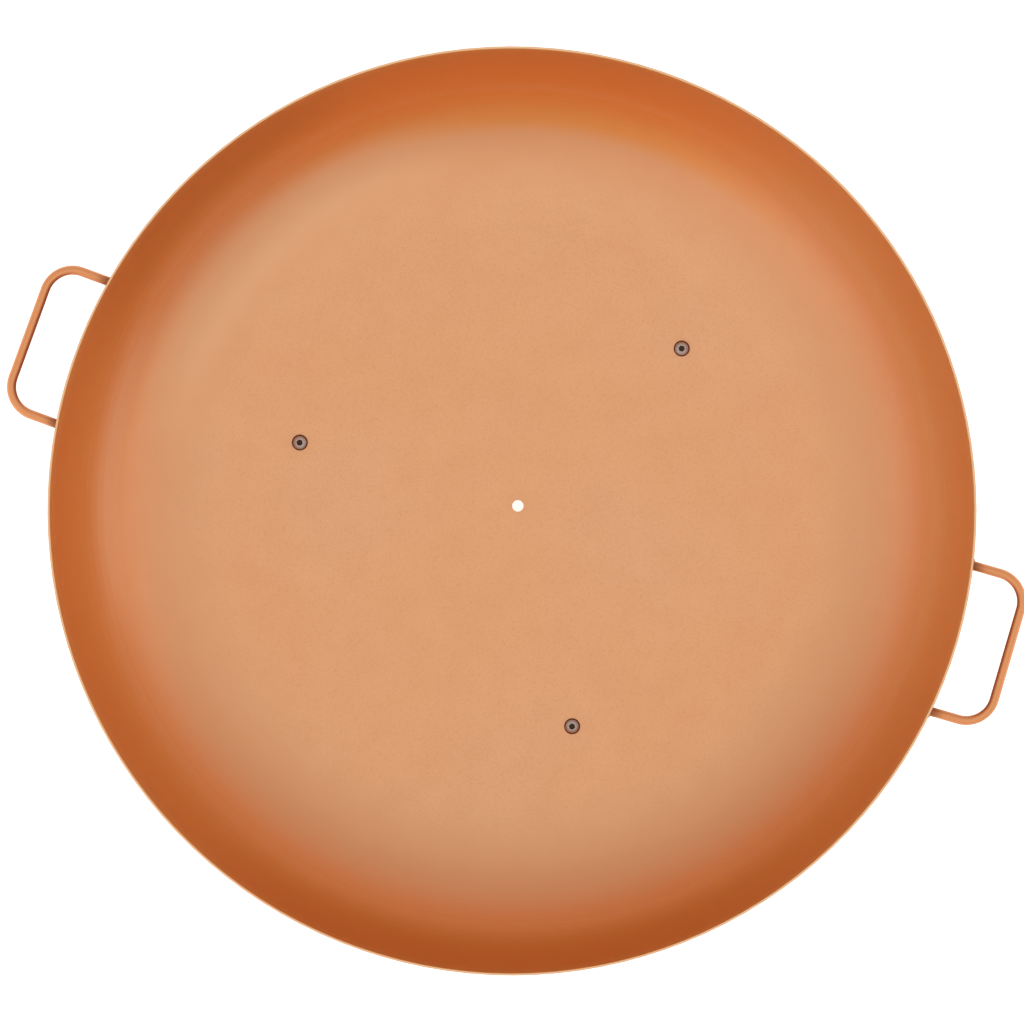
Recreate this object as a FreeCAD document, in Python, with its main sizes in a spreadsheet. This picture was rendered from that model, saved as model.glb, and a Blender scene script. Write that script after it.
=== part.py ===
"""Round steel fire pit: a spun dish with two rod handles on a bolted strip-leg stand.

The dish has a flat floor with a drain hole, a large knuckle and a short upright rim. Three
button-head screws go down through the floor into three bent strip legs, and each is held by a
washer and a hex nut. A flat ring is bolted inside the legs halfway down, so that a leg on its one
screw can't swivel. Each handle is one bent rod whose two ends are fillet welded to the wall.

Frame: millimetres, +Z up, origin on the ground under the dish's centre, +X towards the right
handle. The dish and its handles are drawn from the underside of the dish's floor, the legs from
the ground, and each fastener from the plane that its head, washer or nut seats on.
"""

import FreeCAD
import Part
import math
import os

import Sketcher
from FreeCAD import Vector

SIZES = {
    # dish
    "rim_diameter": 800,
    "sheet_thickness": 2,
    "dish_depth": 185,
    "knuckle_radius": 150,
    "rim_edge_radius": 0.4,
    "drain_diameter": 10,
    # handles and their welds
    "handle_rod_diameter": 8,
    "handle_width": 131,
    "handle_reach": 44.7,
    "handle_bend_radius": 25,
    "handle_drop": 25,
    "left_handle_angle": 176,
    "weld_leg": 1.4,
    # stand
    "stand_height": 208,
    "first_leg_angle": 60,
    "leg_width": 35,
    "leg_thickness": 5,
    "leg_bend_radius": 8,
    "leg_corner_radius": 8,
    "leg_tab_inside": 26,
    "leg_tab_outside": 36,
    "leg_edge_radius": 0.8,
    "leg_splay": 30,
    "foot_length": 38,
    "ring_gap": 30,
    "ring_thickness": 3,
    "ring_band": 25,
    "ring_edge_radius": 0.8,
    "knee_gap": 32,
    # screws, washers and nuts through the dish's floor
    "floor_screw_circle": 400,
    "floor_screw_diameter": 8,
    "floor_screw_pitch": 1.25,
    "floor_screw_length": 20,
    "floor_screw_head_diameter": 14,
    "floor_screw_head_height": 4.4,
    "floor_screw_socket": 5,
    "floor_screw_socket_depth": 2.6,
    "floor_washer_diameter": 16,
    "floor_washer_thickness": 1.6,
    "floor_nut_flats": 13,
    "floor_nut_height": 6.8,
    # screws, washers and nuts through the ring
    "ring_screw_diameter": 6,
    "ring_screw_pitch": 1,
    "ring_screw_length": 20,
    "ring_screw_head_diameter": 10.5,
    "ring_screw_head_height": 3.3,
    "ring_screw_socket": 4,
    "ring_screw_socket_depth": 2.1,
    "ring_washer_diameter": 12,
    "ring_washer_thickness": 1.6,
    "ring_nut_flats": 10,
    "ring_nut_height": 5,
    # clearances, on the diameter
    "hole_clearance": 1,
    "washer_clearance": 0.4,
    "nut_clearance": 0.1,
}

LEG_COUNT = 3

# Shares that shape the fasteners, whatever their size.
HEAD_LIP = 0.14
HEAD_CROWN = 0.78
HEAD_ROUNDING = 1.1
THREAD_DEPTH = 0.54
THREAD_OPENING = 0.84
NUT_FACE = 0.475
NUT_CHAMFER_ANGLE = 30
WASHER_ROUNDING = 0.2

# The least volume that counts as a cut, and the least length that counts as a distance.
MINIMUM_CUT = 0.01
TOLERANCE = 0.01


# ---------------------------------------------------------------- sizes and formulas


class Size:
    """A number together with the sheet formula that gives it, so that both follow one sum."""

    def __init__(self, number, formula):
        self.number = number
        self.formula = formula

    def __add__(self, other):
        other = as_size(other)
        return Size(self.number + other.number, f"({self.formula} + {other.formula})")

    def __sub__(self, other):
        other = as_size(other)
        return Size(self.number - other.number, f"({self.formula} - {other.formula})")

    def __mul__(self, other):
        other = as_size(other)
        return Size(self.number * other.number, f"({self.formula} * {other.formula})")

    def __truediv__(self, other):
        other = as_size(other)
        return Size(self.number / other.number, f"({self.formula} / {other.formula})")

    def __neg__(self):
        return Size(-self.number, f"(0 - {self.formula})")


def as_size(value):
    return value if isinstance(value, Size) else Size(float(value), f"({float(value)})")


def named(alias):
    """The size that the sheet's cell of this name holds."""
    return Size(float(SIZES[alias]), f"Sizes.{alias}")


def root(size):
    return Size(math.sqrt(size.number), f"sqrt({size.formula})")


def sine(angle):
    angle = as_size(angle)
    return Size(math.sin(math.radians(angle.number)), f"sin({angle.formula})")


def cosine(angle):
    angle = as_size(angle)
    return Size(math.cos(math.radians(angle.number)), f"cos({angle.formula})")


def tangent(angle):
    return sine(angle) / cosine(angle)


def not_below_zero(size):
    return Size(max(0.0, size.number), f"max(0; {size.formula})")


def whole_part(size):
    return Size(float(math.floor(size.number)), f"floor({size.formula})")


def make_sheet():
    sheet = document.addObject("Spreadsheet::Sheet", "Sizes")
    for row, (alias, value) in enumerate(SIZES.items(), start=1):
        sheet.set(f"A{row}", alias)
        sheet.set(f"B{row}", str(value))
        sheet.setAlias(f"B{row}", alias)
    document.recompute()


def bind(thing, path, size):
    thing.setExpression(path, as_size(size).formula)


# ---------------------------------------------------------------- sketches


def make_body(label):
    body = document.addObject("PartDesign::Body", label)
    body.Label = label
    return body


def origin_plane(body, role):
    return next(feature for feature in body.Origin.OriginFeatures if feature.Role == role)


def make_sketch(body, name, role, up=0, out=0):
    """A sketch on one of the body's own origin planes, shifted up and out of it."""
    sketch = body.newObject("Sketcher::SketchObject", f"{body.Label}_{name}")
    sketch.AttachmentSupport = (origin_plane(body, role), [""])
    sketch.MapMode = "FlatFace"
    for axis, shift in (("y", up), ("z", out)):
        bind(sketch, f"AttachmentOffset.Base.{axis}", shift)
    return sketch


def hold(sketch, kind, *where, size):
    """Add one dimension to the sketch and tie it to the sheet."""
    index = sketch.addConstraint(Sketcher.Constraint(kind, *where, as_size(size).number))
    bind(sketch, f"Constraints[{index}]", size)


def hold_point(sketch, geometry, vertex, across, up):
    hold(sketch, "DistanceX", -1, 1, geometry, vertex, size=across)
    hold(sketch, "DistanceY", -1, 1, geometry, vertex, size=up)


def draw_circle(sketch, across, up, radius):
    centre = Vector(as_size(across).number, as_size(up).number, 0)
    circle = sketch.addGeometry(Part.Circle(centre, Vector(0, 0, 1), radius.number))
    hold_point(sketch, circle, 3, across, up)
    hold(sketch, "Radius", circle, size=radius)


def rounded_corner(before, corner, after, radius):
    """Where the arc that rounds a corner starts and ends, and its centre."""
    back = (before - corner).normalize()
    ahead = (after - corner).normalize()
    half_angle = back.getAngle(ahead) / 2
    start = corner + back * (radius / math.tan(half_angle))
    end = corner + ahead * (radius / math.tan(half_angle))
    centre = corner + (back + ahead).normalize() * (radius / math.sin(half_angle))
    return start, end, centre


def draw_corner_arc(sketch, corner, side_before, side_after, points):
    """Round the corner between two sides with a tangent arc, and hold the corner itself."""
    start, end, centre = points
    across, up, radius = corner
    turns_left = (start - centre).cross(end - centre).z > 0
    first, last = (start, end) if turns_left else (end, start)
    first_angle = math.atan2(first.y - centre.y, first.x - centre.x)
    last_angle = math.atan2(last.y - centre.y, last.x - centre.x)
    circle = Part.Circle(centre, Vector(0, 0, 1), radius.number)
    arc = sketch.addGeometry(Part.ArcOfCircle(circle, first_angle, last_angle))
    point = sketch.addGeometry(Part.Point(Vector(across.number, up.number, 0)), True)
    entry, leave = (1, 2) if turns_left else (2, 1)
    sketch.addConstraint(Sketcher.Constraint("Tangent", side_before, 2, arc, entry))
    sketch.addConstraint(Sketcher.Constraint("Tangent", side_after, 1, arc, leave))
    sketch.addConstraint(Sketcher.Constraint("PointOnObject", point, 1, side_before))
    sketch.addConstraint(Sketcher.Constraint("PointOnObject", point, 1, side_after))
    hold(sketch, "Radius", arc, size=radius)
    hold_point(sketch, point, 1, across, up)


def draw_outline(sketch, corners, closed=True):
    """Draw straight sides from corner to corner, rounding each corner that has a radius.

    A corner is (across, up) or (across, up, radius). Each is held from the sketch's origin.
    """
    corners = [tuple(as_size(value) for value in corner) for corner in corners]
    points = [Vector(corner[0].number, corner[1].number, 0) for corner in corners]
    count = len(corners)
    arcs = {}
    for index, corner in enumerate(corners):
        if len(corner) == 3:
            before, after = points[index - 1], points[(index + 1) % count]
            arcs[index] = rounded_corner(before, points[index], after, corner[2].number)
    sides = []
    for index in range(count if closed else count - 1):
        following = (index + 1) % count
        start = arcs[index][1] if index in arcs else points[index]
        end = arcs[following][0] if following in arcs else points[following]
        sides.append(sketch.addGeometry(Part.LineSegment(start, end)))
    for index, corner in enumerate(corners):
        if not closed and index == 0:
            hold_point(sketch, sides[0], 1, *corner)
        elif not closed and index == count - 1:
            hold_point(sketch, sides[-1], 2, *corner)
        elif index in arcs:
            draw_corner_arc(sketch, corner, sides[index - 1], sides[index], arcs[index])
        else:
            meeting = Sketcher.Constraint("Coincident", sides[index - 1], 2, sides[index], 1)
            sketch.addConstraint(meeting)
            hold_point(sketch, sides[index], 1, *corner)


def draw_hexagon(sketch, flats):
    reach = flats / root(as_size(3))
    angles = range(0, 360, 60)
    draw_outline(sketch, [(reach * cosine(angle), reach * sine(angle)) for angle in angles])


# ---------------------------------------------------------------- features


def revolve(body, sketch, name, kind="Revolution", axis="V_Axis"):
    """Turn a sketch a full circle, as a Revolution that adds or a Groove that cuts."""
    feature = body.newObject(f"PartDesign::{kind}", f"{body.Label}_{name}")
    feature.Profile = sketch
    feature.ReferenceAxis = (sketch, [axis])
    feature.Angle = 360
    return feature


def pad_both_ways(body, sketch, name, width):
    feature = body.newObject("PartDesign::Pad", f"{body.Label}_{name}")
    feature.Profile = sketch
    feature.SideType = "Symmetric"
    bind(feature, "Length", width)
    return feature


def drill(body, sketch, name):
    """Cut a sketch right through the body, on the side that the sketch's normal points to."""
    feature = body.newObject("PartDesign::Pocket", f"{body.Label}_{name}")
    feature.Profile = sketch
    feature.Type = "ThroughAll"
    feature.Reversed = True
    return feature


def sink(body, sketch, name, depth):
    """Cut a sketch into the body to a depth, against the sketch's normal."""
    feature = body.newObject("PartDesign::Pocket", f"{body.Label}_{name}")
    feature.Profile = sketch
    bind(feature, "Length", depth)
    return feature


def repeat_for_legs(body, feature, sketch, axis):
    """Repeat a feature round one of a sketch's axes, once for each leg."""
    pattern = body.newObject("PartDesign::PolarPattern", f"{feature.Name}_around")
    pattern.Originals = [feature]
    pattern.Axis = (sketch, [axis])
    pattern.Angle = 360
    pattern.Occurrences = LEG_COUNT
    body.Tip = pattern


def place(thing, turn, radius=0, height=0, tip=0):
    """Put a piece out at a radius and height, tipped about its Y axis, then turned about Z."""
    turn, radius, height, tip = (as_size(value).formula for value in (turn, radius, height, tip))
    turned = f"placement(vector(0; 0; 0); rotation(vector(0; 0; 1); {turn}))"
    moved = f"placement(vector({radius}; 0; {height}); rotation(vector(0; 1; 0); {tip}))"
    thing.setExpression("Placement", f"{turned} * {moved}")


# ---------------------------------------------------------------- derived sizes

document = FreeCAD.newDocument("fire_pit")
make_sheet()

rim_radius = named("rim_diameter") / 2
dish_height = named("dish_depth") + named("sheet_thickness")
outer_knuckle = named("knuckle_radius") + named("sheet_thickness")
floor_screw_radius = named("floor_screw_circle") / 2

rod_radius = named("handle_rod_diameter") / 2
rod_side = named("handle_width") / 2
rod_height = dish_height - named("handle_drop")
rod_start = rim_radius - named("knuckle_radius")
knuckle_dip = not_below_zero(outer_knuckle - rod_height)
knuckle_depth = root(outer_knuckle * outer_knuckle - knuckle_dip * knuckle_dip)
wall_radius = rim_radius - outer_knuckle + knuckle_depth
wall_distance = root(wall_radius * wall_radius - rod_side * rod_side)

leg_outer_face = floor_screw_radius + named("leg_tab_outside")
leg_inner_face = leg_outer_face - named("leg_thickness")
ring_top = named("stand_height") - named("leg_thickness") - named("leg_bend_radius") - named("ring_gap")
ring_bottom = ring_top - named("ring_band")
ring_middle = (ring_top + ring_bottom) / 2
knee_height = ring_bottom - named("knee_gap")
ring_inner_radius = leg_inner_face - named("ring_thickness")
ring_washer_radius = named("ring_washer_diameter") / 2
ring_seat = root(ring_inner_radius * ring_inner_radius - ring_washer_radius * ring_washer_radius)

floor_hole_radius = (named("floor_screw_diameter") + named("hole_clearance")) / 2
ring_hole_radius = (named("ring_screw_diameter") + named("hole_clearance")) / 2

leg_angles = [named("first_leg_angle") + leg * 360 / LEG_COUNT for leg in range(LEG_COUNT)]


# ---------------------------------------------------------------- dish and handles


def make_bowl():
    """Spun sheet: flat floor, knuckle and short upright rim with softened edges."""
    body = make_body("bowl")
    sheet = named("sheet_thickness")
    edge = named("rim_edge_radius")
    profile = make_sketch(body, "profile", "XZ_Plane")
    draw_outline(profile, [
        (0, 0),
        (rim_radius, 0, outer_knuckle),
        (rim_radius, dish_height, edge),
        (rim_radius - sheet, dish_height, edge),
        (rim_radius - sheet, sheet, named("knuckle_radius")),
        (0, sheet),
    ])
    revolve(body, profile, "shell")

    drain = make_sketch(body, "drain", "XY_Plane")
    draw_circle(drain, 0, 0, named("drain_diameter") / 2)
    drill(body, drain, "drain_hole")

    hole = make_sketch(body, "screw_hole", "XY_Plane")
    first = leg_angles[0]
    draw_circle(hole, floor_screw_radius * cosine(first), floor_screw_radius * sine(first),
                floor_hole_radius)
    repeat_for_legs(body, drill(body, hole, "screw_holes"), hole, "N_Axis")
    place(body, 0, height=named("stand_height"))


def cut_to_wall(body):
    """Take away whatever lies inside the dish, so that the piece ends on the dish's wall."""
    inside = make_sketch(body, "inside_of_dish", "XZ_Plane")
    draw_outline(inside, [
        (0, 0),
        (rim_radius, 0, outer_knuckle),
        (rim_radius, dish_height),
        (0, dish_height),
    ])
    revolve(body, inside, "wall_cut", kind="Groove")


def make_handle(label, angle):
    """One round rod bent into a level three-sided loop, whose ends butt on the wall."""
    body = make_body(label)
    bend = named("handle_bend_radius")
    reach = rim_radius + named("handle_reach")
    path = make_sketch(body, "path", "XY_Plane", out=rod_height)
    draw_outline(path, [
        (rod_start, -rod_side),
        (reach, -rod_side, bend),
        (reach, rod_side, bend),
        (rod_start, rod_side),
    ], closed=False)
    section = make_sketch(body, "section", "YZ_Plane", out=rod_start)
    draw_circle(section, -rod_side, rod_height, rod_radius)
    rod = body.newObject("PartDesign::AdditivePipe", f"{label}_rod")
    rod.Profile = section
    rod.Spine = path
    cut_to_wall(body)
    place(body, angle, height=named("stand_height"))


def make_weld(label, angle, side):
    """A fillet bead round one end of a handle's rod, side being -1 or 1 across the handle."""
    body = make_body(label)
    leg = named("weld_leg")
    across = rod_side * -side
    bead = make_sketch(body, "bead", "XZ_Plane", up=rod_height, out=across)
    draw_outline(bead, [
        (wall_distance - leg, rod_radius),
        (wall_distance + leg, rod_radius),
        (wall_distance - leg, rod_radius + leg * 2),
    ])
    revolve(body, bead, "ring", axis="H_Axis")
    cut_to_wall(body)
    place(body, angle, height=named("stand_height"))


# ---------------------------------------------------------------- stand


def make_leg(label, angle):
    """Bent flat strip: top tab, upright, splayed shin and level foot, with two bolt holes."""
    body = make_body(label)
    top = named("stand_height")
    thick = named("leg_thickness")
    splay = named("leg_splay")
    inner_bend = named("leg_bend_radius")
    outer_bend = inner_bend + thick
    tab_end = floor_screw_radius - named("leg_tab_inside")
    ankle = leg_outer_face + (knee_height - thick) * tangent(splay)
    toe = ankle + named("foot_length")
    knee_mitre = thick * tangent(splay / 2)
    ankle_mitre = thick * cosine(splay) / (sine(splay) + 1)

    profile = make_sketch(body, "profile", "XZ_Plane")
    draw_outline(profile, [
        (tab_end, top),
        (leg_outer_face, top, outer_bend),
        (leg_outer_face, knee_height, inner_bend),
        (ankle, thick, inner_bend),
        (toe, thick),
        (toe, 0),
        (ankle - ankle_mitre, 0, outer_bend),
        (leg_inner_face, knee_height - knee_mitre, outer_bend),
        (leg_inner_face, top - thick, inner_bend),
        (tab_end, top - thick),
    ])
    strip = pad_both_ways(body, profile, "strip", named("leg_width"))
    round_strip_ends(body, strip, (tab_end.number, toe.number))

    floor_hole = make_sketch(body, "floor_hole", "XY_Plane")
    draw_circle(floor_hole, floor_screw_radius, 0, floor_hole_radius)
    drill(body, floor_hole, "floor_screw_hole")

    ring_hole = make_sketch(body, "ring_hole", "YZ_Plane")
    draw_circle(ring_hole, 0, ring_middle, ring_hole_radius)
    drill(body, ring_hole, "ring_screw_hole")
    place(body, angle)


def round_strip_ends(body, strip, ends):
    """Round the strip's two ends, then soften every edge of it."""
    document.recompute()
    corners = []
    for number, edge in enumerate(strip.Shape.Edges, start=1):
        box = edge.BoundBox
        at_an_end = any(abs(box.XMin - end) < TOLERANCE for end in ends)
        if at_an_end and box.XLength < TOLERANCE and box.YLength < TOLERANCE:
            corners.append(f"Edge{number}")
    rounding = body.newObject("PartDesign::Fillet", f"{body.Label}_end_corners")
    rounding.Base = (strip, corners)
    bind(rounding, "Radius", named("leg_corner_radius"))
    softened = body.newObject("PartDesign::Fillet", f"{body.Label}_softened_edges")
    softened.Base = (rounding, [""])
    softened.UseAllEdges = True
    bind(softened, "Radius", named("leg_edge_radius"))


def make_brace_ring():
    """Flat bar on edge, rolled into a ring that touches the inside of every leg."""
    body = make_body("brace_ring")
    edge = named("ring_edge_radius")
    profile = make_sketch(body, "profile", "XZ_Plane")
    draw_outline(profile, [
        (ring_inner_radius, ring_bottom, edge),
        (leg_inner_face, ring_bottom, edge),
        (leg_inner_face, ring_top, edge),
        (ring_inner_radius, ring_top, edge),
    ])
    revolve(body, profile, "band")

    hole = make_sketch(body, "screw_hole", "YZ_Plane")
    draw_circle(hole, 0, ring_middle, ring_hole_radius)
    repeat_for_legs(body, drill(body, hole, "screw_holes"), profile, "V_Axis")
    place(body, leg_angles[0])


# ---------------------------------------------------------------- fasteners


def make_screw(label, family):
    """Button-head socket screw, head up from its seat, with the thread as a row of rings."""
    body = make_body(label)
    radius = named(f"{family}_screw_diameter") / 2
    pitch = named(f"{family}_screw_pitch")
    length = named(f"{family}_screw_length")
    head_radius = named(f"{family}_screw_head_diameter") / 2
    head_height = named(f"{family}_screw_head_height")
    profile = make_sketch(body, "profile", "XZ_Plane")
    draw_outline(profile, [
        (0, -length),
        (radius - pitch * THREAD_DEPTH, -length),
        (radius, pitch * THREAD_DEPTH - length),
        (radius, 0),
        (head_radius, 0),
        (head_radius, head_height * HEAD_LIP),
        (head_radius * HEAD_CROWN, head_height, head_height * HEAD_ROUNDING),
        (0, head_height),
    ])
    revolve(body, profile, "blank")

    socket = make_sketch(body, "socket", "XY_Plane", out=head_height)
    draw_hexagon(socket, named(f"{family}_screw_socket"))
    sink(body, socket, "hex_socket", named(f"{family}_screw_socket_depth"))

    first_ring = pitch * 1.5 - length
    half_opening = pitch * THREAD_OPENING / 2
    groove = make_sketch(body, "thread", "XZ_Plane")
    draw_outline(groove, [
        (radius, first_ring - half_opening),
        (radius, first_ring + half_opening),
        (radius - pitch * THREAD_DEPTH, first_ring),
    ])
    ring = revolve(body, groove, "thread_ring", kind="Groove")
    ring_count = whole_part((length - pitch * 3) / pitch)
    rings = body.newObject("PartDesign::LinearPattern", f"{label}_thread_rings")
    rings.Originals = [ring]
    rings.Direction = (groove, ["V_Axis"])
    bind(rings, "Length", pitch * (ring_count - 1))
    bind(rings, "Occurrences", ring_count)
    body.Tip = rings
    return body


def make_washer(label, family):
    """Plain round washer, hanging down from its seat."""
    body = make_body(label)
    outer = named(f"{family}_washer_diameter") / 2
    inner = (named(f"{family}_screw_diameter") + named("washer_clearance")) / 2
    thick = named(f"{family}_washer_thickness")
    rounding = thick * WASHER_ROUNDING
    profile = make_sketch(body, "profile", "XZ_Plane")
    draw_outline(profile, [
        (inner, 0),
        (outer, 0, rounding),
        (outer, -thick, rounding),
        (inner, -thick),
    ])
    revolve(body, profile, "disc")
    return body


def make_nut(label, family):
    """Plain hex nut, hanging down from its seat, chamfered at both ends."""
    body = make_body(label)
    flats = named(f"{family}_nut_flats")
    height = named(f"{family}_nut_height")
    prism = make_sketch(body, "prism", "XY_Plane", out=-height)
    draw_hexagon(prism, flats)
    blank = body.newObject("PartDesign::Pad", f"{label}_blank")
    blank.Profile = prism
    bind(blank, "Length", height)

    bore = make_sketch(body, "bore", "XY_Plane", out=-height)
    draw_circle(bore, 0, 0, (named(f"{family}_screw_diameter") + named("nut_clearance")) / 2)
    drill(body, bore, "threaded_bore")

    face = flats * NUT_FACE
    drop = (flats - face) * tangent(NUT_CHAMFER_ANGLE)
    for name, level, sign in (("top", as_size(0), -1), ("bottom", -height, 1)):
        corner = make_sketch(body, f"{name}_chamfer", "XZ_Plane")
        draw_outline(corner, [(face, level), (flats, level), (flats, level + drop * sign)])
        revolve(body, corner, f"{name}_chamfer_cut", kind="Groove")
    return body


def make_floor_fasteners(number, angle):
    """The screw, washer and nut that hold the dish's floor down on one leg's tab."""
    seat = named("stand_height") + named("sheet_thickness")
    below_tab = named("stand_height") - named("leg_thickness")
    below_washer = below_tab - named("floor_washer_thickness")
    screw = make_screw(f"floor_screw_{number}", "floor")
    place(screw, angle, floor_screw_radius, seat)
    washer = make_washer(f"floor_washer_{number}", "floor")
    place(washer, angle, floor_screw_radius, below_tab)
    nut = make_nut(f"floor_nut_{number}", "floor")
    place(nut, angle, floor_screw_radius, below_washer)


def make_ring_fasteners(number, angle):
    """The screw, washer and nut that hold the ring to one leg, lying level, head outwards."""
    screw = make_screw(f"ring_screw_{number}", "ring")
    place(screw, angle, leg_outer_face, ring_middle, tip=90)
    washer = make_washer(f"ring_washer_{number}", "ring")
    place(washer, angle, ring_seat, ring_middle, tip=90)
    nut = make_nut(f"ring_nut_{number}", "ring")
    place(nut, angle, ring_seat - named("ring_washer_thickness"), ring_middle, tip=90)


# ---------------------------------------------------------------- checks and files


def check_model():
    """Stop if a feature failed, a cut removed nothing, or a piece isn't one sound solid."""
    for thing in document.Objects:
        if {"Invalid", "Error"} & set(thing.State):
            raise RuntimeError(f"{thing.Label} failed: {thing.State}")
        if thing.TypeId in ("PartDesign::Pocket", "PartDesign::Groove"):
            removed = thing.BaseFeature.Shape.Volume - thing.Shape.Volume
            if removed < MINIMUM_CUT:
                raise RuntimeError(f"{thing.Label} cut nothing")
    for piece in pieces():
        shape = piece.Shape
        if shape.isNull() or not shape.isValid() or len(shape.Solids) != 1:
            raise RuntimeError(f"{piece.Label} isn't one valid solid")


def pieces():
    return [thing for thing in document.Objects if thing.TypeId == "PartDesign::Body"]


def write_pieces():
    os.makedirs("parts", exist_ok=True)
    for piece in pieces():
        piece.Shape.exportStep(f"parts/{piece.Label}.step")


make_bowl()
for handle, handle_angle in (("handle_right", 0), ("handle_left", named("left_handle_angle"))):
    make_handle(handle, handle_angle)
    for weld_number, weld_side in enumerate((-1, 1), start=1):
        make_weld(f"{handle}_weld_{weld_number}", handle_angle, weld_side)
make_brace_ring()
for leg_number, leg_angle in enumerate(leg_angles, start=1):
    make_leg(f"leg_{leg_number}", leg_angle)
    make_floor_fasteners(leg_number, leg_angle)
    make_ring_fasteners(leg_number, leg_angle)

document.recompute()
check_model()
write_pieces()
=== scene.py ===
"""Looks of the copper-painted fire pit: paint, screws, weld beads, studio light and camera."""

import math

import bpy
from mathutils import Matrix, Vector, noise


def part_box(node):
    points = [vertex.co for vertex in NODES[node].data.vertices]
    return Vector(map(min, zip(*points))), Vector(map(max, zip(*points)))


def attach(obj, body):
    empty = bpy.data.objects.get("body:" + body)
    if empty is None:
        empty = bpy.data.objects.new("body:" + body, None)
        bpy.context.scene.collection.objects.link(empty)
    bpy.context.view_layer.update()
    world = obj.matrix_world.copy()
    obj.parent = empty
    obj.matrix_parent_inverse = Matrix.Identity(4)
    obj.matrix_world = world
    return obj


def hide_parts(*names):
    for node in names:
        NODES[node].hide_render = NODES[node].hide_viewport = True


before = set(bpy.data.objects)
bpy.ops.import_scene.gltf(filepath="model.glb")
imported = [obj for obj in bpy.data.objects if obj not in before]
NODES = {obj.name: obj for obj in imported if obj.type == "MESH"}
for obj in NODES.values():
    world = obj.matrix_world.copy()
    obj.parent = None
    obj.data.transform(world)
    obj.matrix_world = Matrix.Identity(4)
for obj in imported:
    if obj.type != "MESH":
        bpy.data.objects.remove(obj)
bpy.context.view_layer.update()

MM = 0.001

# Places worked out from the model's parts
bowl_low, bowl_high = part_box("bowl")
RIM_RADIUS = (bowl_high.x - bowl_low.x) / 2
RIM_HEIGHT = bowl_high.z
DISH_BOTTOM = bowl_low.z
HANDLE_HEIGHT = sum(corner.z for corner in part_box("handle_right")) / 2

# Sizes of the dish and its handles, the same as in the CAD
SHEET = 2 * MM
KNUCKLE_RADIUS = 150 * MM
FLOOR_RADIUS = RIM_RADIUS - SHEET - KNUCKLE_RADIUS
FLOOR_HEIGHT = DISH_BOTTOM + SHEET
ROD_RADIUS = 4 * MM
WELD_LEG = 1.4 * MM
HANDLE_ANGLES = {"handle_right": 0, "handle_left": 176}


# ---------------------------------------------------------------- node helpers


class Tree:
    """A short way to add nodes to a node tree and join them up."""

    def __init__(self, tree):
        self.tree = tree

    def add(self, kind, settings=(), inputs=()):
        node = self.tree.nodes.new(kind)
        for name, value in dict(settings).items():
            setattr(node, name, value)
        for name, value in dict(inputs).items():
            self.feed(node.inputs[name], value)
        return node

    def feed(self, socket, value):
        """Join another node's output to a socket, or set the socket to a constant."""
        if isinstance(value, bpy.types.NodeSocket):
            self.tree.links.new(value, socket)
        else:
            socket.default_value = value

    def maths(self, operation, *values):
        node = self.add("ShaderNodeMath", {"operation": operation})
        for socket, value in zip(node.inputs, values):
            self.feed(socket, value)
        return node.outputs[0]

    def spread(self, value, low, high, to_low=0.0, to_high=1.0, kind="LINEAR"):
        """Map a value from one range to another, held at the ends."""
        inputs = {"Value": value, "From Min": low, "From Max": high}
        inputs.update({"To Min": to_low, "To Max": to_high})
        settings = {"interpolation_type": kind}
        return self.add("ShaderNodeMapRange", settings, inputs).outputs[0]


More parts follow.
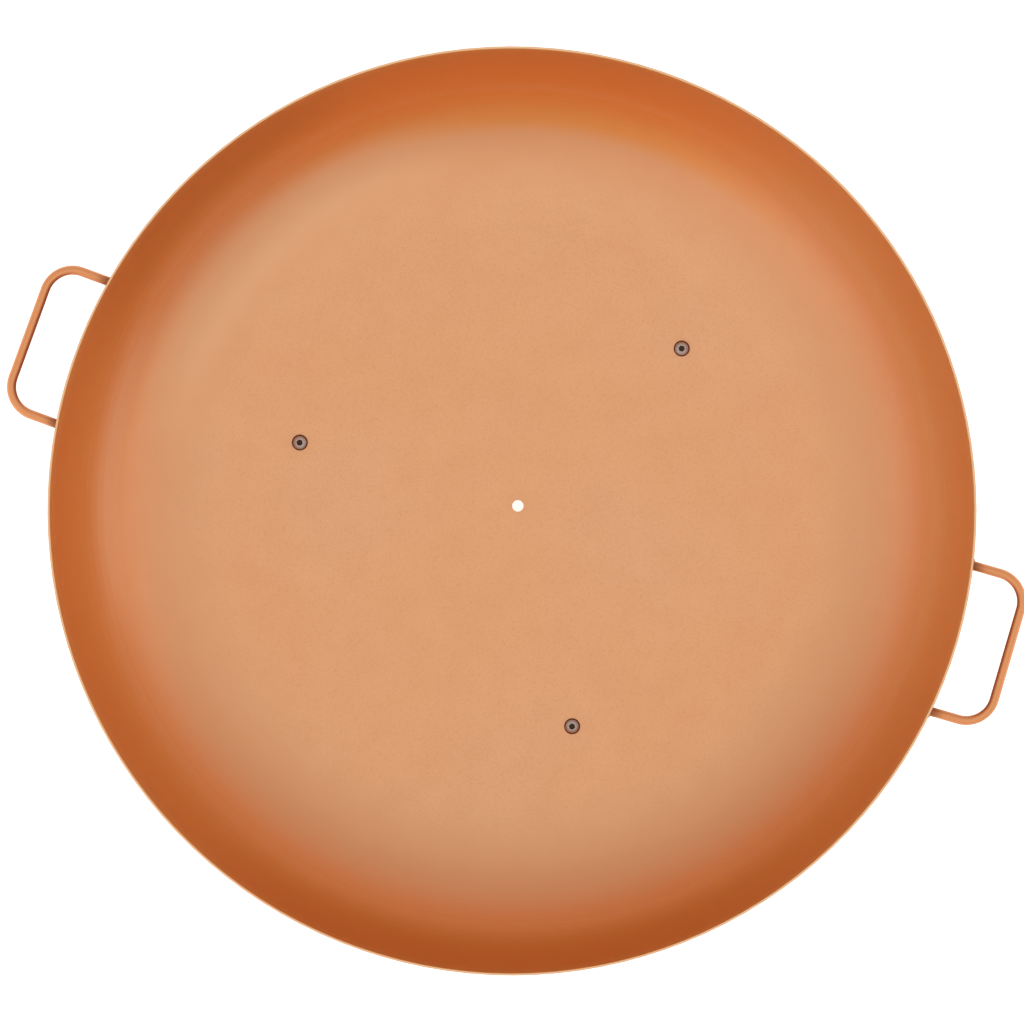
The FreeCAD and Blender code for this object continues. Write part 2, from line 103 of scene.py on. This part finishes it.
class Paint(Tree):
    """A new material's node tree, with helpers for place, facing, noise, colour and bump."""

    def __init__(self, name, metallic=0.0):
        self.material = bpy.data.materials.new(name)
        self.material.use_nodes = True
        super().__init__(self.material.node_tree)
        self.shader = self.tree.nodes["Principled BSDF"]
        self.shader.inputs["Metallic"].default_value = metallic
        self.point = self.add("ShaderNodeTexCoord").outputs["Object"]
        self.across, self.along, self.height = self.split(self.point)
        self.radius = self.length(self.across, self.along)

    def split(self, vector):
        return self.add("ShaderNodeSeparateXYZ", inputs={0: vector}).outputs

    def length(self, first, second):
        squares = [self.maths("MULTIPLY", value, value) for value in (first, second)]
        return self.maths("SQRT", self.maths("ADD", *squares))

    def off_circle(self, radius):
        """How far in or out a point is from a circle round the Z axis."""
        return self.maths("ABSOLUTE", self.maths("SUBTRACT", self.radius, radius))

    def inward_and_upward(self):
        """How far the surface faces the Z axis, and how far up, each from -1 to 1."""
        normal = self.split(self.add("ShaderNodeNewGeometry").outputs["Normal"])
        across = self.maths("MULTIPLY", normal[0], self.across)
        along = self.maths("MULTIPLY", normal[1], self.along)
        outward = self.maths("DIVIDE", self.maths("ADD", across, along), self.radius)
        return self.maths("MULTIPLY", outward, -1.0), normal[2]

    def towards(self, turn, half_width):
        """Share from 1 in one direction round the Z axis to 0 half a width away, in degrees."""
        turn, half_width = math.radians(turn), math.radians(half_width)
        across = self.maths("MULTIPLY", self.across, math.cos(turn))
        along = self.maths("MULTIPLY", self.along, math.sin(turn))
        ahead = self.maths("DIVIDE", self.maths("ADD", across, along), self.radius)
        return self.spread(ahead, math.cos(half_width), 1.0, kind="SMOOTHSTEP")

    def noise(self, scale, detail=2.0, roughness=0.5, point=None):
        inputs = {"Vector": self.point if point is None else point}
        inputs.update({"Scale": scale, "Detail": detail, "Roughness": roughness})
        return self.add("ShaderNodeTexNoise", inputs=inputs).outputs["Fac"]

    def blend(self, share, first, second):
        node = self.add("ShaderNodeMix", {"data_type": "RGBA"})
        self.feed(node.inputs[0], share)
        self.feed(node.inputs[6], first)
        self.feed(node.inputs[7], second)
        return node.outputs[2]

    def bump(self, height, distance, strength, below=None):
        inputs = {"Height": height, "Distance": distance, "Strength": strength}
        node = self.add("ShaderNodeBump", inputs=inputs)
        if below is not None:
            self.feed(node.inputs["Normal"], below)
        return node.outputs[0]

    def finish(self, base, roughness, normal):
        self.feed(self.shader.inputs["Base Color"], base)
        self.feed(self.shader.inputs["Roughness"], roughness)
        self.feed(self.shader.inputs["Normal"], normal)
        return self.material


def colour(red, green, blue):
    return (red, green, blue, 1.0)


# ---------------------------------------------------------------- colours and patterns

COPPER_WARM = colour(0.865, 0.45, 0.228)
COPPER_PALE = colour(0.865, 0.462, 0.246)
# Painted shade: the bend and the wall deepen in colour as they tilt away from the overhead light
COPPER_BEND_SHADE = colour(0.91, 0.455, 0.228)
COPPER_WALL_SHADE = colour(0.85, 0.445, 0.17)
# Painted highlight on the rim's top edge
COPPER_EDGE_HIGHLIGHT = colour(0.95, 0.60, 0.35)
# Painted shade: the dish's outside is darker than the same paint inside
COPPER_OUTSIDE_SHADE = colour(0.58, 0.255, 0.12)
COPPER_OUTSIDE_SHADE_PALE = colour(0.64, 0.295, 0.145)
COPPER_SPECK = colour(0.80, 0.37, 0.165)
# Painted highlight, for the pale patch and for the ridge lines
COPPER_HIGHLIGHT = colour(0.93, 0.56, 0.33)
COPPER_ROD = colour(0.88, 0.37, 0.155)
# Painted shade on the rods
COPPER_SHADE = colour(0.36, 0.12, 0.06)
STRIP_DARK = colour(0.62, 0.265, 0.12)
STRIP_PALE = colour(0.69, 0.31, 0.145)
STRIP_SPECK = colour(0.52, 0.20, 0.09)
STEEL_DARK = colour(0.41, 0.32, 0.30)
STEEL_PALE = colour(0.59, 0.48, 0.45)
# Painted shade round the edge of a screw head
STEEL_EDGE_SHADE = colour(0.11, 0.03, 0.015)
# Painted shade inside a screw's hex socket
SOCKET_SHADE = colour(0.07, 0.035, 0.015)
ZINC_DARK = colour(0.42, 0.43, 0.45)
ZINC_PALE = colour(0.68, 0.67, 0.64)
GROUND_PALE = colour(0.8, 0.8, 0.8)
WHITE = colour(1.0, 1.0, 1.0)

# Noise patterns, with their scale per metre
COPPER_CLOUDS = {"scale": 6.0, "detail": 3.0}
COPPER_FLAKE = {"scale": 750.0, "detail": 2.0, "roughness": 0.7}
COPPER_SATIN = {"scale": 40.0, "detail": 4.0}
OUTSIDE_STREAKS = {"scale": 22.0, "detail": 4.0, "roughness": 0.6}
SPUN_RINGS = {"scale": 300.0, "detail": 2.0, "roughness": 0.7}
STRIP_CLOUDS = {"scale": 14.0, "detail": 4.0}
STRIP_SATIN = {"scale": 60.0, "detail": 4.0}
STRIP_PEEL = {"scale": 260.0, "detail": 2.0}
STEEL_SCRATCHES = {"scale": 900.0, "detail": 4.0, "roughness": 0.7}
ZINC_CLOUDS = {"scale": 160.0, "detail": 5.0, "roughness": 0.65}

# Roughness of each finish: its smoothest and its roughest spots
COPPER_ROUGHNESS = (0.48, 0.52)
STRIP_ROUGHNESS = (0.44, 0.54)
STEEL_ROUGHNESS = (0.38, 0.52)
ZINC_ROUGHNESS = (0.34, 0.5)

# The middle stretch of a noise pattern, over which a finish goes from one end to the other
NOISE_MIDDLE = (0.3, 0.7)

# Depth of each bump
FLAKE_DEPTH = 0.04 * MM
RINGS_DEPTH = 0.5 * MM
PEEL_DEPTH = 0.08 * MM
SCRATCHES_DEPTH = 0.03 * MM
ZINC_DEPTH = 0.02 * MM


def finish_roughness(p, pattern, finish):
    """Roughness that follows a noise pattern between a finish's two ends."""
    return p.spread(pattern, *NOISE_MIDDLE, *finish)


# ---------------------------------------------------------------- dish paint

# Where in their noise the clouds and flake start and are full, and how strong flake gets
CLOUDS_SPAN = (0.38, 0.62)
FLAKE_SPAN = (0.5, 0.7)
FLAKE_SHARE = 0.75
STREAKS_SPAN = (0.35, 0.65)

# Facing of the outside's darker paint, which is painted shade: inward plus upward, from where it is
# full to where it is gone
OUTSIDE_FACING = (-0.2, 0.0)

# Heights up the dish where the painted shade of the bend and of the wall starts and is full, in
# shares of the knuckle's radius
BEND_SHADE_HEIGHTS = (0.0, 0.12)
WALL_SHADE_HEIGHTS = (0.22, 0.6)

# Painted light and shade on the dish's wall: pale where light falls, brown or deep where shade
# falls. Each has its turn and half width in degrees, the heights where it starts, is full, leaves
# and is gone, in shares of the knuckle's radius, and its colour
LIGHT_AND_SHADE_PATCHES = {
    "painted_light_right": (36, 62, (0.26, 0.42, 1.3, 1.4), colour(0.89, 0.52, 0.24)),
    "painted_shade_back": (106, 50, (0.14, 0.22, 0.35, 0.9), colour(0.95, 0.415, 0.13)),
    "painted_light_back": (151, 42, (0.02, 0.10, 0.18, 0.30), colour(0.97, 0.54, 0.29)),
    "painted_shade_left": (151, 28, (0.36, 0.62, 1.3, 1.4), colour(0.77, 0.37, 0.13)),
    "painted_shade_front": (286, 50, (0.34, 0.64, 1.3, 1.4), colour(0.77, 0.35, 0.11)),
}

# Fine ridges round the knuckle, drawn as pale painted highlight lines: their places as shares of
# its width, and how strongly each one shows
RIDGES = {0.785: 0.15, 0.80: 0.25, 0.82: 0.12}
RIDGE_SOLID = 0.2 * MM
RIDGE_GONE = 1.2 * MM

# The painted highlight patch: turn and half width in degrees, then place and half width across the
# knuckle
HIGHLIGHT_TURN = 191
HIGHLIGHT_HALF_TURN = 26
HIGHLIGHT_PLACE = 0.745
HIGHLIGHT_HALF_WIDTH = 0.085
HIGHLIGHT_SHARE = 0.8

# The band of tool rings, in shares of the knuckle's width, and what is left of them outside it
RINGS_START = 0.70
RINGS_STOP = 0.90
RINGS_FADE = 0.06
RINGS_LEFT = 0.15

# The painted highlight along the rim's top edge: how far it reaches from the sheet's middle and
# below the top
EDGE_SOLID = 0.4 * MM
EDGE_GONE = 0.8 * MM
EDGE_BELOW = 0.35 * MM
EDGE_FULL_BELOW = 0.1 * MM


def copper_coat(p, warm, pale):
    """Satin copper colour with faint cloudy patches and fine flake, and the flake's bump."""
    base = p.blend(p.spread(p.noise(**COPPER_CLOUDS), *CLOUDS_SPAN), warm, pale)
    flake = p.noise(**COPPER_FLAKE)
    base = p.blend(p.spread(flake, *FLAKE_SPAN, to_high=FLAKE_SHARE), base, COPPER_SPECK)
    return base, p.bump(flake, FLAKE_DEPTH, strength=0.5)


def copper_satin(p):
    return finish_roughness(p, p.noise(**COPPER_SATIN), COPPER_ROUGHNESS)


def rise(p, low, high):
    """Share from 0 to 1 between two heights up the dish, in shares of the knuckle's radius."""
    low = FLOOR_HEIGHT + KNUCKLE_RADIUS * low
    high = FLOOR_HEIGHT + KNUCKLE_RADIUS * high
    return p.spread(p.height, low, high, kind="SMOOTHSTEP")


def on_knuckle(share):
    """Radius at a share of the knuckle's width, from the flat floor out to the wall."""
    return FLOOR_RADIUS + KNUCKLE_RADIUS * share


def highlight_patch(p):
    """A long painted highlight on the knuckle near the left handle."""
    offset = p.off_circle(on_knuckle(HIGHLIGHT_PLACE))
    half_width = KNUCKLE_RADIUS * HIGHLIGHT_HALF_WIDTH
    narrow = p.spread(offset, 0.0, half_width, HIGHLIGHT_SHARE, 0.0, "SMOOTHSTEP")
    return p.maths("MULTIPLY", narrow, p.towards(HIGHLIGHT_TURN, HIGHLIGHT_HALF_TURN))


def spun_rings(p):
    """Shallow tool rings, close together, that the spinning roller left on the knuckle."""
    profile = p.add("ShaderNodeCombineXYZ", inputs={0: p.radius, 1: p.height}).outputs[0]
    rings = p.noise(point=profile, **SPUN_RINGS)
    inner = on_knuckle(RINGS_START)
    outer = on_knuckle(RINGS_STOP)
    fade = KNUCKLE_RADIUS * RINGS_FADE
    start = p.spread(p.radius, inner, inner + fade, kind="SMOOTHSTEP")
    stop = p.spread(p.radius, outer, outer + fade, 1.0, RINGS_LEFT, kind="SMOOTHSTEP")
    return p.maths("MULTIPLY", rings, p.maths("MULTIPLY", start, stop))


def rim_highlight(p):
    """Share of the painted highlight along the middle of the sheet at the top of the rim."""
    offset = p.off_circle(RIM_RADIUS - SHEET / 2)
    edge = p.spread(offset, EDGE_SOLID, EDGE_GONE, 1.0, 0.0)
    top = p.spread(p.height, RIM_HEIGHT - EDGE_BELOW, RIM_HEIGHT - EDGE_FULL_BELOW)
    return p.maths("MULTIPLY", edge, top)


def dish_paint(name):
    """Copper paint with painted shade up the bend and wall, painted light and shade patches,
    painted highlights on the knuckle and the rim's edge, a darker painted-shade outside, and spun
    rings.
    """
    p = Paint(name, metallic=1.0)
    base, normal = copper_coat(p, COPPER_WARM, COPPER_PALE)
    # Painted shade: deeper colour up the bend and the wall, as they tilt away from the light
    base = p.blend(rise(p, *BEND_SHADE_HEIGHTS), base, COPPER_BEND_SHADE)
    base = p.blend(rise(p, *WALL_SHADE_HEIGHTS), base, COPPER_WALL_SHADE)
    # Painted light and shade on the wall: pale where light falls, brown or deep where shade falls
    for turn, half_width, (starts, full, leaves, gone), shade in LIGHT_AND_SHADE_PATCHES.values():
        share = p.maths("SUBTRACT", rise(p, starts, full), rise(p, leaves, gone))
        base = p.blend(p.maths("MULTIPLY", share, p.towards(turn, half_width)), base, shade)
    # Painted highlight patch on the knuckle near the left handle
    base = p.blend(highlight_patch(p), base, COPPER_HIGHLIGHT)
    # Painted highlight lines along fine ridges round the knuckle
    for place, share in RIDGES.items():
        offset = p.off_circle(on_knuckle(place))
        base = p.blend(p.spread(offset, RIDGE_SOLID, RIDGE_GONE, share, 0.0), base, COPPER_HIGHLIGHT)
    # Painted shade: the outside of the dish is darker than the inside
    outside = p.spread(p.maths("ADD", *p.inward_and_upward()), *OUTSIDE_FACING, 1.0, 0.0)
    streaks = p.spread(p.noise(**OUTSIDE_STREAKS), *STREAKS_SPAN)
    base = p.blend(outside, base, p.blend(streaks, COPPER_OUTSIDE_SHADE, COPPER_OUTSIDE_SHADE_PALE))
    # Painted highlight along the rim's top edge
    base = p.blend(rim_highlight(p), base, COPPER_EDGE_HIGHLIGHT)
    normal = p.bump(spun_rings(p), RINGS_DEPTH, strength=0.5, below=normal)
    return p.finish(base, copper_satin(p), normal)


# ---------------------------------------------------------------- other materials

# Where in their noise the strip's clouds and flake start and are full, and how strong flake gets
STRIP_CLOUDS_SPAN = (0.35, 0.65)
STRIP_FLAKE_SPAN = (0.5, 0.75)
STRIP_FLAKE_SHARE = 0.5

# How strong the painted shade is low on a rod's sides, towards the dish and at the wall
SHADE_LOW = 0.7
SHADE_INNER = 0.85
SHADE_WALL = 0.9

# Where the painted shade is gone: up the rod, in shares of its radius, and out from the wall. Then
# how far a side has to face the dish for the painted shade to start and be full
SHADE_CLEAR = 0.85
SHADE_LENGTH = 14 * MM
SHADE_FACING = (0.2, 0.95)

# Places on a floor screw's head, out from its middle, where its painted edge shade starts and is
# full, and how deep its socket's painted shade starts
EDGE_SHADE_START = 5.5 * MM
EDGE_SHADE_FULL = 6.4 * MM
SOCKET_REACH = 3.1 * MM
SOCKET_BELOW = 0.25 * MM

GROUND_ROUGHNESS = 0.9
GROUND_GLOW = 0.72


def rod_paint(name):
    """Copper paint on the rods, with painted shade low on their sides, towards the dish and at the
    wall.
    """
    p = Paint(name, metallic=1.0)
    base, normal = copper_coat(p, COPPER_ROD, COPPER_ROD)
    # Painted shade low on the rod's sides, on the sides facing the dish and next to the wall
    clear = HANDLE_HEIGHT + ROD_RADIUS * SHADE_CLEAR
    low = p.spread(p.height, HANDLE_HEIGHT, clear, SHADE_LOW, 0.0)
    inward, _ = p.inward_and_upward()
    inner = p.spread(inward, *SHADE_FACING, 0.0, SHADE_INNER, "SMOOTHSTEP")
    end = RIM_RADIUS + SHADE_LENGTH
    near = p.spread(p.radius, RIM_RADIUS, end, SHADE_WALL, 0.0, "SMOOTHSTEP")
    share = p.maths("MAXIMUM", low, p.maths("MAXIMUM", inner, near))
    return p.finish(p.blend(share, base, COPPER_SHADE), copper_satin(p), normal)


def stand_paint(name):
    """The same copper paint on rolled strip: a little darker, with a wavier surface."""
    p = Paint(name, metallic=1.0)
    clouds = p.spread(p.noise(**STRIP_CLOUDS), *STRIP_CLOUDS_SPAN)
    base = p.blend(clouds, STRIP_DARK, STRIP_PALE)
    flake = p.noise(**COPPER_FLAKE)
    specks = p.spread(flake, *STRIP_FLAKE_SPAN, to_high=STRIP_FLAKE_SHARE)
    base = p.blend(specks, base, STRIP_SPECK)
    rough = finish_roughness(p, p.noise(**STRIP_SATIN), STRIP_ROUGHNESS)
    peel = p.bump(p.noise(**STRIP_PEEL), PEEL_DEPTH, strength=0.5)
    return p.finish(base, rough, p.bump(flake, FLAKE_DEPTH, strength=0.4, below=peel))


def burnished_steel(name, node):
    """Dull grey steel, with painted shade round the edge of the head and in its hex socket."""
    low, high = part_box(node)
    middle = (low + high) / 2
    p = Paint(name, metallic=0.9)
    across = p.maths("SUBTRACT", p.across, middle.x)
    along = p.maths("SUBTRACT", p.along, middle.y)
    reach = p.length(across, along)
    scratches = p.noise(**STEEL_SCRATCHES)
    base = p.blend(scratches, STEEL_DARK, STEEL_PALE)
    # Painted shade round the edge of the head
    edge = p.spread(reach, EDGE_SHADE_START, EDGE_SHADE_FULL, kind="SMOOTHSTEP")
    base = p.blend(edge, base, STEEL_EDGE_SHADE)
    # Painted shade inside the hex socket
    in_socket = p.maths("LESS_THAN", reach, SOCKET_REACH)
    below_face = p.maths("LESS_THAN", p.height, high.z - SOCKET_BELOW)
    base = p.blend(p.maths("MULTIPLY", in_socket, below_face), base, SOCKET_SHADE)
    rough = finish_roughness(p, scratches, STEEL_ROUGHNESS)
    return p.finish(base, rough, p.bump(scratches, SCRATCHES_DEPTH, strength=0.4))


def zinc_plate(name):
    """Dull zinc plate with a cloudy, faintly bluish cast."""
    p = Paint(name, metallic=0.95)
    clouds = p.noise(**ZINC_CLOUDS)
    base = p.blend(clouds, ZINC_DARK, ZINC_PALE)
    rough = finish_roughness(p, clouds, ZINC_ROUGHNESS)
    return p.finish(base, rough, p.bump(clouds, ZINC_DEPTH, strength=0.5))


def pale_ground(name):
    """White ground that glows like a light table, so that the fire pit stands out as a cut-out."""
    p = Paint(name)
    p.shader.inputs["Base Color"].default_value = GROUND_PALE
    p.shader.inputs["Roughness"].default_value = GROUND_ROUGHNESS
    p.shader.inputs["Emission Color"].default_value = WHITE
    p.shader.inputs["Emission Strength"].default_value = GROUND_GLOW
    return p.material


def paint_node(node, material):
    obj = NODES[node]
    if not obj.material_slots:
        obj.data.materials.append(None)
    for slot in obj.material_slots:
        slot.material = material


def paint_nodes(copper):
    """Give every CAD node its paint or metal. The CAD weld beads are replaced later on."""
    dish = dish_paint("copper_paint_dish")
    strip = stand_paint("copper_paint_strip")
    zinc = zinc_plate("zinc_plate")
    for node in NODES:
        if node == "bowl":
            paint_node(node, dish)
        elif node.startswith("handle"):
            paint_node(node, copper)
        elif node.startswith(("leg", "brace")):
            paint_node(node, strip)
        elif node.startswith("floor_screw"):
            paint_node(node, burnished_steel(f"burnished_{node}", node))
        else:
            paint_node(node, zinc)


# ---------------------------------------------------------------- weld beads

# Steps round the bead, ripples round it, steps across its curved face, and how far it is sunk
BEAD_STEPS = 96
BEAD_RIPPLES = 15
BEAD_CURVE = 8
BEAD_SUNK = 0.3 * MM

# Height of the bead's sunk inner side, in shares of its leg
BEAD_INNER_HEIGHT = 0.9

# The bead's leg in shares of the CAD bead's: the least, and what ripples and wander add
LEG_LEAST = 0.86
LEG_RIPPLE = 0.12
LEG_WANDER = 0.10

# The wander is noise round the bead. The second value keeps one bead's noise from another's
WANDER_SCALE = 1.7
WANDER_APART = 90


def bead_section(leg):
    """The bead's outline as (distance from the rod's axis, height off the wall)."""
    inner = ROD_RADIUS - BEAD_SUNK
    curve = [math.pi / 2 * step / BEAD_CURVE for step in range(BEAD_CURVE + 1)]
    outline = [(ROD_RADIUS + leg * math.cos(turn), leg * math.sin(turn)) for turn in curve]
    outline.append((inner, leg * BEAD_INNER_HEIGHT))
    outline.append((inner, -BEAD_SUNK))
    outline.append((ROD_RADIUS + leg, -BEAD_SUNK))
    return outline


def bead_corners(middle, turn):
    """Corners of the bead, one outline after another round the rod's end."""
    local = turn.transposed() @ middle
    corners = []
    for step in range(BEAD_STEPS):
        around = math.tau * step / BEAD_STEPS
        ripple = abs(math.sin(around * BEAD_RIPPLES / 2))
        place = Vector((math.cos(around), math.sin(around), local.y * WANDER_APART))
        wander = noise.noise(place * WANDER_SCALE)
        leg = WELD_LEG * (LEG_LEAST + LEG_RIPPLE * ripple + LEG_WANDER * wander)
        for reach, lift in bead_section(leg):
            side = local.y + reach * math.cos(around)
            wall = math.sqrt(RIM_RADIUS ** 2 - side ** 2)
            corner = Vector((wall + lift, side, middle.z + reach * math.sin(around)))
            corners.append(turn @ corner)
    return corners


def ring_faces(section):
    """Faces that join each outline of a bead to the next one, and the last to the first."""
    faces = []
    for step in range(BEAD_STEPS):
        here = step * section
        following = (step + 1) % BEAD_STEPS * section
        for spot in range(section):
            after = (spot + 1) % section
            faces.append((here + spot, following + spot, following + after, here + after))
    return faces


def make_bead(node, angle, copper):
    """A painted fillet bead with stacked ripples, closed into one ring round the rod's end."""
    low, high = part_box(node)
    corners = bead_corners((low + high) / 2, Matrix.Rotation(math.radians(angle), 3, "Z"))
    faces = ring_faces(len(corners) // BEAD_STEPS)
    mesh = bpy.data.meshes.new(f"{node}_bead")
    mesh.from_pydata(corners, [], faces)
    mesh.polygons.foreach_set("use_smooth", [True] * len(faces))
    mesh.materials.append(copper)
    bead = bpy.data.objects.new(f"{node}_bead", mesh)
    bpy.context.scene.collection.objects.link(bead)
    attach(bead, "root")
    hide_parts(node)


def make_beads(copper):
    for handle, angle in HANDLE_ANGLES.items():
        for number in (1, 2):
            make_bead(f"{handle}_weld_{number}", angle, copper)


# ---------------------------------------------------------------- studio

# Soft lamps far away: turn from +X, tilt from overhead, half width, all in degrees, and strength
SKY = 0.572
LAMPS = {
    "overhead": (0, 0, 60, 0.362),
    "low_right": (16, 82, 30, 0.82),
    "low_left": (196, 82, 30, 0.56),
    "low_front_left": (241, 82, 30, 0.73),
    "front": (286, 45, 45, 0.14),
}

# The ground lies a little below the feet, so that the two don't flicker into each other
GROUND_SIZE = 30
GROUND_HEIGHT = -0.5 * MM

# Places in metres, roll in degrees, lens and sensor in mm
CAMERA_PLACE = Vector((0.179, 0.278, 8.395))
CAMERA_AIM = Vector((0.0007, -0.0002, RIM_HEIGHT))
CAMERA_ROLL = 16.15
CAMERA_LENS = 327.1
CAMERA_SENSOR = 36


def make_ground():
    bpy.ops.mesh.primitive_plane_add(size=GROUND_SIZE, location=(0, 0, GROUND_HEIGHT))
    ground = bpy.context.object
    ground.name = "studio_ground"
    ground.data.materials.append(pale_ground("pale_ground"))


def make_lights():
    """An even white studio with a few large, soft-edged lamps, all drawn on the world."""
    world = bpy.data.worlds.new("studio")
    bpy.context.scene.world = world
    world.use_nodes = True
    t = Tree(world.node_tree)
    direction = t.add("ShaderNodeTexCoord").outputs["Generated"]
    strength = SKY
    for turn, tilt, half_width, power in LAMPS.values():
        turn, tilt, half_width = (math.radians(value) for value in (turn, tilt, half_width))
        level = math.sin(tilt)
        lamp = (level * math.cos(turn), level * math.sin(turn), math.cos(tilt))
        settings = {"operation": "DOT_PRODUCT"}
        ahead = t.add("ShaderNodeVectorMath", settings, {0: direction, 1: lamp}).outputs["Value"]
        glow = t.spread(ahead, math.cos(half_width), 1.0, 0.0, power, kind="SMOOTHSTEP")
        strength = t.maths("ADD", glow, strength)
    background = world.node_tree.nodes["Background"]
    background.inputs["Color"].default_value = WHITE
    t.feed(background.inputs["Strength"], strength)


def make_camera():
    """Long lens, nearly overhead, turned so that the handles run from upper left to lower right."""
    roll = math.radians(CAMERA_ROLL)
    ahead = (CAMERA_AIM - CAMERA_PLACE).normalized()
    up = Vector((-math.sin(roll), math.cos(roll), 0))
    right = ahead.cross(up).normalized()
    up = right.cross(ahead)
    data = bpy.data.cameras.new("camera")
    data.sensor_width = CAMERA_SENSOR
    data.lens = CAMERA_LENS
    camera = bpy.data.objects.new("camera", data)
    bpy.context.scene.collection.objects.link(camera)
    turn = Matrix((right, up, -ahead)).transposed().to_4x4()
    camera.matrix_world = Matrix.Translation(CAMERA_PLACE) @ turn
    bpy.context.scene.camera = camera


make_camera()
copper_rod_paint = rod_paint("copper_paint_rods")
paint_nodes(copper_rod_paint)
make_beads(copper_rod_paint)
make_ground()
make_lights()
bpy.context.scene.view_settings.view_transform = "Standard"
